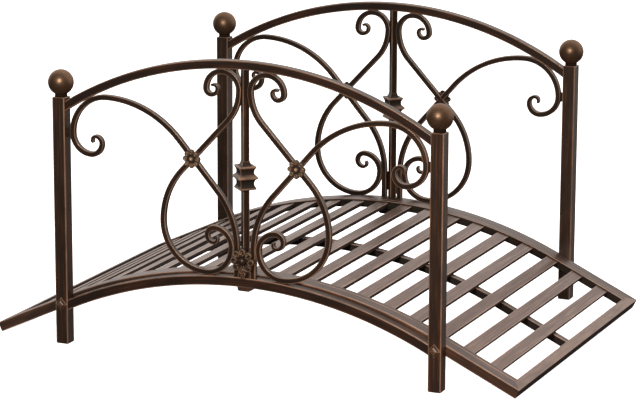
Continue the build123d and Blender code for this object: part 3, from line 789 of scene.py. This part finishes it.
def swept(rows, depth):
    """A rod through sections in the front railing."""
    x, z, way, distance, width, scale, lean = np.array(rows).T[:, :, None]
    ring = outline(1, 1, ROD_CORNER / SCROLL_SIZE, ROD_WEAR_HIGHLIGHT_MARGIN / SCROLL_SIZE)
    left = ring.a * width * scale
    front = ring.b * depth * scale
    points = across(x - left * np.sin(way), RAILING_Y - front, z + left * np.cos(way))
    flat = np.sqrt(1 - lean ** 2)
    normal_x = -flat * ring.normal_a * np.sin(way) + lean * np.cos(way)
    normal_z = flat * ring.normal_a * np.cos(way) + lean * np.sin(way)
    normals = across(normal_x, -flat * ring.normal_b, normal_z)
    grain = across(distance, SCROLL_SIZE * ring.a, SCROLL_SIZE * ring.b)
    first = (-cos(way[0, 0]), 0, -sin(way[0, 0]))
    last = (cos(way[-1, 0]), 0, sin(way[-1, 0]))
    return tube(points, normals, grain, ring.edge, first, last)


# Half the length, height and depth of the weld beads, and their edge attribute
WELD_HALF = (0.0045, 0.0016, 0.0042)
WELD_EDGE = -0.5

# The stubs between curls and posts: half their height and depth, how much larger they are at both
# ends, and the share of their length over which they flare. They are painted dark all over, and
# their size fills the curl's shadow on the post: a painted shadow.
STUB_HALF_HEIGHT = 0.0080
STUB_HALF_DEPTH = 0.0042
STUB_FLARE = 1.25
STUB_FLARE_SHARE = 0.25


def bead_profile():
    """A unit ball's profile, for weld beads."""
    turns = np.linspace(TURN_STEP, HALF_TURN - TURN_STEP, BEAD_STEPS)
    return [(sin(turn), -cos(turn), WELD_EDGE) for turn in turns]


def weld(hub, radius, x, z):
    """A weld bead on an arc about a hub, where the arc passes nearest to the place x, z."""
    turn = atan2(x, z - hub)
    length, height, depth = WELD_HALF
    along = (length * cos(turn), 0, -length * sin(turn))
    upward = (height * sin(turn), 0, height * cos(turn))
    centre = (radius * sin(turn), RAILING_Y, hub + radius * cos(turn))
    return stacked(circle(), bead_profile(), centre, (along, (0, depth, 0), upward))


def curl_stub():
    """The stub that holds the curl of the front right outer scroll to the post, painted dark all over as
    a painted shadow of the curl on the post.
    """
    # Painted shadow: the whole stub is painted dark
    profile = [(STUB_FLARE, 0, PAINTED_SHADE), (1, STUB_FLARE_SHARE, PAINTED_SHADE)]
    profile += [(1, 1 - STUB_FLARE_SHARE, PAINTED_SHADE), (STUB_FLARE, 1, PAINTED_SHADE)]
    axes = (0, 0, -STUB_HALF_HEIGHT), (0, STUB_HALF_DEPTH, 0), (OUTER_CURL_OFF_POST, 0, 0)
    centre = (CLEAR_HALF - OUTER_CURL_OFF_POST, RAILING_Y, OUTER_CURL_Z)
    ring = unit_outline(STUB_CORNER_SHARE, STUB_MARGIN_SHARE)
    return stacked(ring._replace(edge=PLAIN * ring.edge), profile, centre, axes)


def welds():
    """The welds of the front right quarter to both rails, and the stub to the post."""
    shape = curl_stub()
    shape.add(weld(HANDRAIL_HUB, HANDRAIL_UNDER_RADIUS, OUTER_CURL_X, OUTER_CURL_Z))
    shape.add(weld(HANDRAIL_HUB, HANDRAIL_UNDER_RADIUS, INNER_CURL_X, INNER_CURL_Z))
    shape.add(weld(LOWER_RAIL_HUB, LOWER_RAIL_RADIUS, INNER_LOOP_X, INNER_LOOP_Z))
    return shape


# Rosettes


class SmallRelief:
    """Eight lumpy petals with raised rims about a centre bead.

    Heights and the bead's radius are in metres, and the places in a petal are shares of its radius.
    """

    boss_wear_highlight = 1.0
    petal_wear_highlight = 0.55
    plate = 0.0022
    petal_height = 0.0048
    dome_fullness = 1.05
    dimple = 0.0022
    dimple_share = 0.42
    dimple_inset = 0.15
    bead_radius = 0.0042
    bead_height = 0.0060
    peak = 0.0082

    def __init__(self, diameter):
        self.radius = diameter / 2
        self.ring = self.radius / (1 + PETAL_OVERLAP_SHARE * sin(pi / PETALS))
        self.petal = self.radius - self.ring

    def off_petal(self, turn):
        """The turn from the middle of the nearest petal."""
        step = FULL_TURN / PETALS
        return (turn + step / 2) % step - step / 2

    def rim(self, turn):
        """Radius of the flower's outline at a turn."""
        off = self.off_petal(turn)
        inside = self.petal ** 2 - (self.ring * sin(off)) ** 2
        return self.ring * cos(off) + sqrt(max(inside, 0))

    def in_petal(self, right, up):
        """Places in the nearest petal, outward and sideways from its middle, as shares of its radius."""
        off = self.off_petal(np.arctan2(up, right))
        reach = np.hypot(right, up)
        return (reach * np.cos(off) - self.ring) / self.petal, reach * np.sin(off) / self.petal

    def boss(self, right, up):
        """Height of the domed boss in the middle."""
        inside = 1 - (right ** 2 + up ** 2) / self.bead_radius ** 2
        return self.bead_height * np.sqrt(np.clip(inside, 0, None))

    def height(self, right, up):
        """Height of the flower over its back."""
        outward, sideways = self.in_petal(right, up)
        reach = np.hypot(outward, sideways)
        dome = self.petal_height * np.sqrt(np.clip(self.dome_fullness - reach ** 2, 0, None))
        from_dimple = np.hypot(outward + self.dimple_inset, sideways)
        hollow = self.dimple * np.exp(-(from_dimple / self.dimple_share) ** 2)
        return self.plate + np.maximum(dome - hollow, self.boss(right, up))


class BigRelief(SmallRelief):
    """Curled volutes about a large domed boss."""

    boss_wear_highlight = 0.0
    petal_wear_highlight = 1.0
    plate = 0.0030
    ridge = 0.0058
    ridge_share = 0.74
    ridge_width = 0.17
    curl_pitch = 0.30
    eye = 0.0046
    eye_width = 0.24
    eye_inset = 0.1
    eye_aside = 0.12
    bead_radius = 0.0086
    bead_height = 0.0088
    peak = 0.0105

    def height(self, right, up):
        """Height of the flower over its back."""
        outward, sideways = self.in_petal(right, up)
        reach = np.hypot(outward, sideways)
        curl = self.ridge_share - self.curl_pitch * np.arctan2(sideways, outward) / FULL_TURN
        ridge = self.ridge * np.exp(-((reach - curl) / self.ridge_width) ** 2)
        from_eye = np.hypot(outward + self.eye_inset, sideways - self.eye_aside)
        eye = self.eye * np.exp(-(from_eye / self.eye_width) ** 2)
        return self.plate + np.maximum(ridge + eye, self.boss(right, up))


# A flower's mesh: its rings and spokes, the share of its radius at the innermost ring, and the step
# for its slopes. Places lower than a share of its peak are dull hollows.
RELIEF_RINGS = 34
RELIEF_SPOKES = 160
RELIEF_CENTRE_SHARE = 0.02
RELIEF_STEP = 2e-5
HOLLOW_EDGE = -0.7
HOLLOW_HEIGHT_SHARE = 0.35


def flower(x, y, z, relief):
    """A cast flower with its back on the plane at y, facing front."""
    turn = np.linspace(0, FULL_TURN, RELIEF_SPOKES, endpoint=False)
    rim = np.array([relief.rim(angle) for angle in turn])
    share = np.linspace(1, RELIEF_CENTRE_SHARE, RELIEF_RINGS)[:, None]
    right, up = share * rim * np.cos(turn), share * rim * np.sin(turn)
    height = relief.height(right, up)
    rise_right = relief.height(right + RELIEF_STEP, up) - relief.height(right - RELIEF_STEP, up)
    rise_up = relief.height(right, up + RELIEF_STEP) - relief.height(right, up - RELIEF_STEP)
    points = across(x + right, y - height, z + up)
    normals = across(-rise_right, -2 * RELIEF_STEP + 0 * right, -rise_up)
    raised = np.clip(height / relief.peak, 0, 1)
    on_boss = relief.plate + relief.boss(right, up) >= height
    # Raised places get rubbed wear that is also a painted highlight, and low places are painted darker
    edge = np.clip((raised - HOLLOW_HEIGHT_SHARE) / (1 - HOLLOW_HEIGHT_SHARE), 0, 1)
    edge = edge * np.where(on_boss, relief.boss_wear_highlight, relief.petal_wear_highlight)
    edge = np.where(raised < HOLLOW_HEIGHT_SHARE, HOLLOW_EDGE, edge)
    shape = Shape()
    outer, inner = shape.grid(points, normals, across(right, height, up), edge)
    shape.cap(inner, (0, -1, 0))
    back_rim = points[0] * (1, 0, 1) + (0, y, 0)
    wall = np.stack([back_rim, points[0]])
    outward = across(np.cos(turn), 0 * turn, np.sin(turn))
    back, front = shape.grid(wall, np.stack([outward, outward]), wall - (x, y, z), PLAIN)
    shape.cap(back, (0, 1, 0))
    return shape


# The fluted stem under the big rosette, from the lower rail up: half width, height over its back,
# and share of the way down from the boss
STEM_PROFILE = [
    (0.0060, 0.0040, 1.00),
    (0.0042, 0.0048, 0.88),
    (0.0058, 0.0044, 0.80),
    (0.0078, 0.0052, 0.74),
    (0.0066, 0.0060, 0.62),
    (0.0044, 0.0062, 0.40),
    (0.0036, 0.0060, 0.20),
]
STEM_FLUTES = 3
STEM_FLUTE_DEPTH = 0.0014
STEM_COLUMNS = 25
STEM_WEAR_HIGHLIGHT_AND_SHADE = 0.6
STEM_SIDE_SHARE = 0.97


def stem(y, z):
    """The fluted stem from the big rosette's boss down to the front lower rail, on the plane at y."""
    half_width, height, share = np.array(STEM_PROFILE).T[:, :, None]
    side = np.linspace(-1, 1, STEM_COLUMNS)
    wave = np.cos(FULL_TURN * STEM_FLUTES * side / 2)
    flutes = STEM_FLUTE_DEPTH * wave
    dome = np.sqrt(1 - (side * STEM_SIDE_SHARE) ** 2)
    front = (height + flutes) * dome
    across_front = half_width * side
    back = np.zeros((len(share), 2))
    one = np.ones((len(share), 1))
    right = np.concatenate([across_front, half_width, -half_width], 1)
    proud = np.concatenate([front, back], 1)
    down = z - share * BIG_ROSETTE_ABOVE_LOWER_RAIL
    points = across(right, y - proud, down)
    slope = np.gradient(front, axis=1) / np.gradient(across_front, axis=1)
    normal_x = np.concatenate([-slope, one, -one], 1)
    normals = across(normal_x, 0 * normal_x - 1, 0 * normal_x)
    # Ridges get rubbed wear that is also a painted highlight, grooves are painted darker, and the back
    # is painted dark as painted shade
    groove = np.concatenate([wave, [PAINTED_SHADE, PAINTED_SHADE]])
    grain = across(down, right, proud)
    return tube(points, normals, grain, STEM_WEAR_HIGHLIGHT_AND_SHADE * groove, (0, 0, -1), (0, 0, 1))


# Deck


def on_deck(distance, depth):
    """x, z and the deck's angle at a distance along its top and a depth under it, as arrays."""
    angle = np.clip(distance / DECK_RADIUS, -DECK_ANGLE, DECK_ANGLE)
    rest = distance - angle * DECK_RADIUS
    radius = DECK_RADIUS - depth
    x = radius * np.sin(angle) + rest * np.cos(angle)
    z = DECK_HUB + radius * np.cos(angle) - rest * np.sin(angle)
    return x, z, angle


def deck_bar(y, width, top, depth, half_length, mitre=0.0, painted_shade_sides=False):
    """A bar along the deck, with painted shade on its sides and underside if asked. A mitre is how much
    shorter its inner face is at each end.
    """
    ring = outline(depth, width, TUBE_CORNER)
    reach = half_length - mitre * (1 / 2 - ring.b / width)
    distance = np.linspace(-1, 1, DECK_STEPS + 1)[:, None] * reach
    x, z, angle = on_deck(distance, top + depth / 2 - ring.a)
    normals = across(ring.normal_a * np.sin(angle), -ring.normal_b, ring.normal_a * np.cos(angle))
    grain = across(distance, ring.a, ring.b)
    # Painted shade on the faces turned less far up than the threshold
    edge = np.where(ring.normal_a < SHADE_FACING, PAINTED_SHADE, ring.edge) if painted_shade_sides else ring.edge
    slant = mitre / width
    left = (-cos(DECK_ANGLE), slant, -sin(DECK_ANGLE))
    right = (cos(DECK_ANGLE), slant, -sin(DECK_ANGLE))
    return tube(across(x, y - ring.b, z), normals, grain, edge, left, right)


def cross_bar(distance, top, width, depth, half_length, corner, mitre=0.0, top_sheen=PLAIN):
    """A bar across the deck, with painted shade on its sides and underside, and this much painted sheen
    on its top.

    A mitre is how much shorter its inner side is at each end.
    """
    ring = outline(depth, width, corner)
    x, z, angle = on_deck(np.array(distance), np.array(top + depth / 2))
    y = np.array([-1, 1])[:, None] * (half_length - mitre * (1 / 2 - ring.b / width))
    c, s = cos(angle), sin(angle)
    points = across(x + ring.a * s + ring.b * c, y, z + ring.a * c - ring.b * s)
    normals = across(ring.normal_a * s + ring.normal_b * c, 0 * y, ring.normal_a * c - ring.normal_b * s)
    # Painted shade on the faces turned less far up than the threshold, and painted sheen on top
    edge = np.where(ring.normal_a < SHADE_FACING, PAINTED_SHADE, np.maximum(ring.edge, top_sheen))
    grain = across(y + GRAIN_SHIFT * distance / width, ring.a, ring.b)
    slant = mitre / width
    front = (-slant * c, -1, slant * s)
    back = (-slant * c, 1, slant * s)
    return tube(points, normals, grain, edge, front, back)


def distance_along_deck(x):
    """Distance along the deck's top, from its middle to the place x along the bridge."""
    bent_x = max(-POST_X, min(POST_X, x))
    return DECK_RADIUS * asin(bent_x / DECK_RADIUS) + (x - bent_x) / cos(DECK_ANGLE)


def slats():
    """The slats of the left half, the middle and the right half of the deck, as in the part's source."""
    inner_end_x = on_deck(INNER_HALF_LENGTH, 0)[0]
    pitch = (2 * inner_end_x + SLAT_WIDTH * cos(DECK_ANGLE)) / (SLAT_COUNT + 1)
    middle = (SLAT_COUNT - 1) / 2
    halves = {"left": Shape(), "middle": Shape(), "right": Shape()}
    for index in range(SLAT_COUNT):
        half = "left" if index < middle else "right" if index > middle else "middle"
        distance = distance_along_deck((index - middle) * pitch)
        slat = cross_bar(distance, SLAT_RECESS, SLAT_WIDTH, SLAT_THICKNESS, STRIP_INNER_Y, SLAT_CORNER)
        halves[half].add(slat)
    return halves


def bracket():
    """The front bracket under mid-span, with rounded lower corners, tucked between the rails."""
    height = BRACKET_DROP + BRACKET_UPSTAND
    under = LOWER_RAIL_TOP - LOWER_RAIL_SIZE - BRACKET_DROP
    front = RAILING_Y - LOWER_RAIL_SIZE / 2 + BRACKET_SETBACK
    ring = outline(BRACKET_WIDTH, height, BRACKET_CORNER)
    y = np.array([front, -STRIP_OUTER_Y])[:, None]
    square = ring.b > 0
    x = np.where(square, np.sign(ring.a) * BRACKET_WIDTH / 2, ring.a)
    z = under + height / 2 + np.where(square, height / 2, ring.b)
    points = across(x, y, z)
    normals = across(ring.normal_a, 0 * y, ring.normal_b)
    grain = across(y, ring.a, ring.b)
    return tube(points[:, ::-1], normals[:, ::-1], grain[:, ::-1], PLAIN, (0, -1, 0), (0, 1, 0))


# Stage


def camera():
    """The camera, at the place and turn fitted to the photograph's 640 by 400 pixels."""
    azimuth, elevation, roll = radians(23.971), radians(13.367), radians(0.205)
    focal_pixels, frame_width, sensor = 2919.3, 640, 36.0
    target = Vector((0, 0, 0.25))
    away, shift_right, shift_up = 5.5838, -0.00555, -0.01265
    back = Vector((sin(azimuth) * cos(elevation), -cos(azimuth) * cos(elevation), sin(elevation)))
    right = Vector((cos(azimuth), sin(azimuth), 0))
    up = back.cross(right)
    place = target + back * away + right * shift_right + up * shift_up
    rolled_right = right * cos(roll) + up * sin(roll)
    rolled_up = up * cos(roll) - right * sin(roll)
    lens = bpy.data.cameras.new("camera")
    lens.sensor_width = sensor
    lens.lens = focal_pixels / frame_width * sensor
    built = add_object("camera", lens)
    turn = Matrix((rolled_right, rolled_up, back)).transposed()
    built.matrix_world = Matrix.Translation(place) @ turn.to_4x4()
    bpy.context.scene.camera = built


def light(name, place, target, size, power, tint, mirrored=True):
    """A square softbox at a place, turned to a target. Reflections show it only if mirrored."""
    lamp = bpy.data.lights.new(name, "AREA")
    lamp.size = size
    lamp.energy = power
    lamp.color = tint
    built = add_object(name, lamp)
    built.location = place
    built.visible_glossy = mirrored
    built.rotation_euler = (Vector(target) - Vector(place)).to_track_quat("-Z", "Y").to_euler()


FLOOR_REACH = 40.0
FLOOR_Z = -0.0006
FLOOR_WHITE = (0.93, 0.93, 0.93, 1)
FLOOR_MOTTLE = (0.95, 0.95, 0.95, 1)
FLOOR_CELLS, FLOOR_DETAIL = (6.0, 6.0, 6.0), 2.0
FLOOR_GLOW = (1, 1, 1, 1)
FLOOR_GLOW_STRENGTH = 1.0


def floor():
    """A wide white floor that glows, so that no shadow shows on it, and that lights nothing."""
    signs = [(-1, -1), (1, -1), (1, 1), (-1, 1)]
    mesh = bpy.data.meshes.new("floor")
    mesh.from_pydata([(x * FLOOR_REACH, y * FLOOR_REACH, FLOOR_Z) for x, y in signs], [], [(0, 1, 2, 3)])
    built = add_object("floor", mesh)
    built.visible_diffuse = False
    built.visible_glossy = False
    built.visible_shadow = False
    nodes = Nodes(bpy.data.materials.new("white_floor"))
    place = nodes.add("ShaderNodeNewGeometry").outputs["Position"]
    white = nodes.mix(nodes.noise(place, FLOOR_CELLS, FLOOR_DETAIL), FLOOR_WHITE, FLOOR_MOTTLE)
    look = {"Base Color": white, "Emission Color": FLOOR_GLOW, "Emission Strength": FLOOR_GLOW_STRENGTH}
    nodes.fill(nodes.tree.nodes["Principled BSDF"], look)
    mesh.materials.append(nodes.owner)


# The studio's brightness in front, behind and overhead, and the ranges of a direction's y and z over
# which each of the last two rises
STUDIO_TINT = (1.0, 0.93, 0.89, 1)
STUDIO_FRONT = 0.07
STUDIO_BEHIND = 1.10
STUDIO_BEHIND_Y = (-0.25, 0.45)
STUDIO_BEHIND_Z = (-0.32, 0.10)
STUDIO_OVERHEAD = 0.35
STUDIO_OVERHEAD_Z = (0.2, 1.0)


def studio():
    """A white studio behind and above the bridge, which falls off to the dark in front and below."""
    world = bpy.data.worlds.new("studio")
    nodes = Nodes(world)
    direction = nodes.add("ShaderNodeTexCoord").outputs["Generated"]
    split = nodes.add("ShaderNodeSeparateXYZ", {0: direction})
    behind = nodes.between(split.outputs["Y"], *STUDIO_BEHIND_Y, 0.0, STUDIO_BEHIND)
    behind = nodes.math("MULTIPLY", behind, nodes.between(split.outputs["Z"], *STUDIO_BEHIND_Z))
    brightest = STUDIO_FRONT + STUDIO_OVERHEAD
    overhead = nodes.between(split.outputs["Z"], *STUDIO_OVERHEAD_Z, STUDIO_FRONT, brightest)
    look = {"Color": STUDIO_TINT, "Strength": nodes.math("ADD", behind, overhead)}
    nodes.fill(nodes.tree.nodes["Background"], look)
    bpy.context.scene.world = world


def key_softbox():
    """The main light, high in front, to the left of the camera."""
    place = (0.58, -4.1, 2.05)
    target = (0, 0, 0.3)
    size, power = 0.6, 140
    tint = (1.0, 0.93, 0.82)
    light("key_softbox", place, target, size, power, tint)


def warm_softbox():
    """A weak warm light, low at the front right."""
    place = (0.95, -1.5, 0.30)
    target = (0.38, -0.36, 0.25)
    size, power = 0.5, 14
    tint = (1.0, 0.56, 0.34)
    light("warm_softbox", place, target, size, power, tint, mirrored=False)


def build():
    """Makes all the pieces of the bridge."""
    post = upright_bar(POST_X, RAILING_Y, 0, POST_TOP, POST_SIZE, POST_CORNER, bevel=POST_END_BEVEL)
    four("post", post, "post_tube")
    four("ball_finial", ball_finial(), "finial")
    four("stud", stud(), "post_tube", replaced=False)
    inner = rod(inner_scroll_path(), TIP_WIDTH, TIP_WIDTH, SCROLL_SIZE)
    four("inner_scroll", inner, "ornament")
    outer = rod(outer_scroll_path(), SCROLL_SIZE, TIP_WIDTH, SCROLL_SIZE - WELD_GAP)
    four("outer_scroll", outer, "ornament")
    four("welds", welds(), "ornament", replaced=False)
    two("handrail", arched_rail(HANDRAIL_SIZE, HANDRAIL_HUB, HANDRAIL_RADIUS), "rail_tube")
    two("lower_rail", arched_rail(LOWER_RAIL_SIZE, LOWER_RAIL_HUB, LOWER_RAIL_RADIUS), "rail_tube")
    bar_top = HANDRAIL_HUB + HANDRAIL_UNDER_RADIUS
    bar_size = (CENTRE_BAR_SIZE, ROD_CORNER, CENTRE_BAR_TURN)
    bar = upright_bar(0, RAILING_Y, LOWER_RAIL_TOP, bar_top, *bar_size)
    two("centre_bar", bar, "ornament")
    two("collar", collar(), "ornament")
    cross_x, cross_z = crossing()
    rosette = flower(cross_x, RAILING_Y - HALF_SCROLL, cross_z, SmallRelief(ROSETTE_DIAMETER))
    four("rosette", rosette, "rosette")
    foot_y = RAILING_Y - BAR_REACH
    foot_z = LOWER_RAIL_TOP + BIG_ROSETTE_ABOVE_LOWER_RAIL
    two("foot_rosette", flower(0, foot_y, foot_z, BigRelief(BIG_ROSETTE_DIAMETER)), "rosette")
    two("foot_stem", stem(foot_y, foot_z), "rosette", replaced=False)

    rail_y = -DECK_EDGE_Y + DECK_RAIL_WIDTH / 2
    rail = deck_bar(rail_y, DECK_RAIL_WIDTH, 0, DECK_DEPTH, DECK_HALF_LENGTH, END_BAR_WIDTH)
    two("deck_rail", rail, "deck_frame")
    strip_y = -STRIP_OUTER_Y + DECK_STRIP_WIDTH / 2
    strip = deck_bar(strip_y, DECK_STRIP_WIDTH, 0, STRIP_DEPTH, INNER_HALF_LENGTH, painted_shade_sides=True)
    two("deck_strip", strip, "deck_frame")
    two("bracket", bracket(), "deck_frame")
    spine_top = SLAT_RECESS + SLAT_THICKNESS
    spine = deck_bar(0, SPINE_SIZE, spine_top, SPINE_SIZE, INNER_HALF_LENGTH, painted_shade_sides=True)
    piece("deck_spine_visual", spine, "deck_frame", ["deck_spine"])
    end_distance = DECK_HALF_LENGTH - END_BAR_WIDTH / 2
    end_size = (END_BAR_WIDTH, DECK_DEPTH, DECK_EDGE_Y, TUBE_CORNER)
    end_bar = cross_bar(end_distance, 0, *end_size, mitre=DECK_RAIL_WIDTH, top_sheen=END_BAR_TOP_SHEEN)
    for end, sign in ENDS.items():
        piece(f"{end}_end_bar_visual", end_bar, "deck_frame", [f"{end}_end_bar"], (sign, 1))
    for half, shape in slats().items():
        piece(f"{half}_slats_visual", shape, "deck_slat", [f"{half}_slats"])


build()
camera()
floor()
studio()
key_softbox()
warm_softbox()
bpy.context.scene.view_settings.view_transform = "Standard"
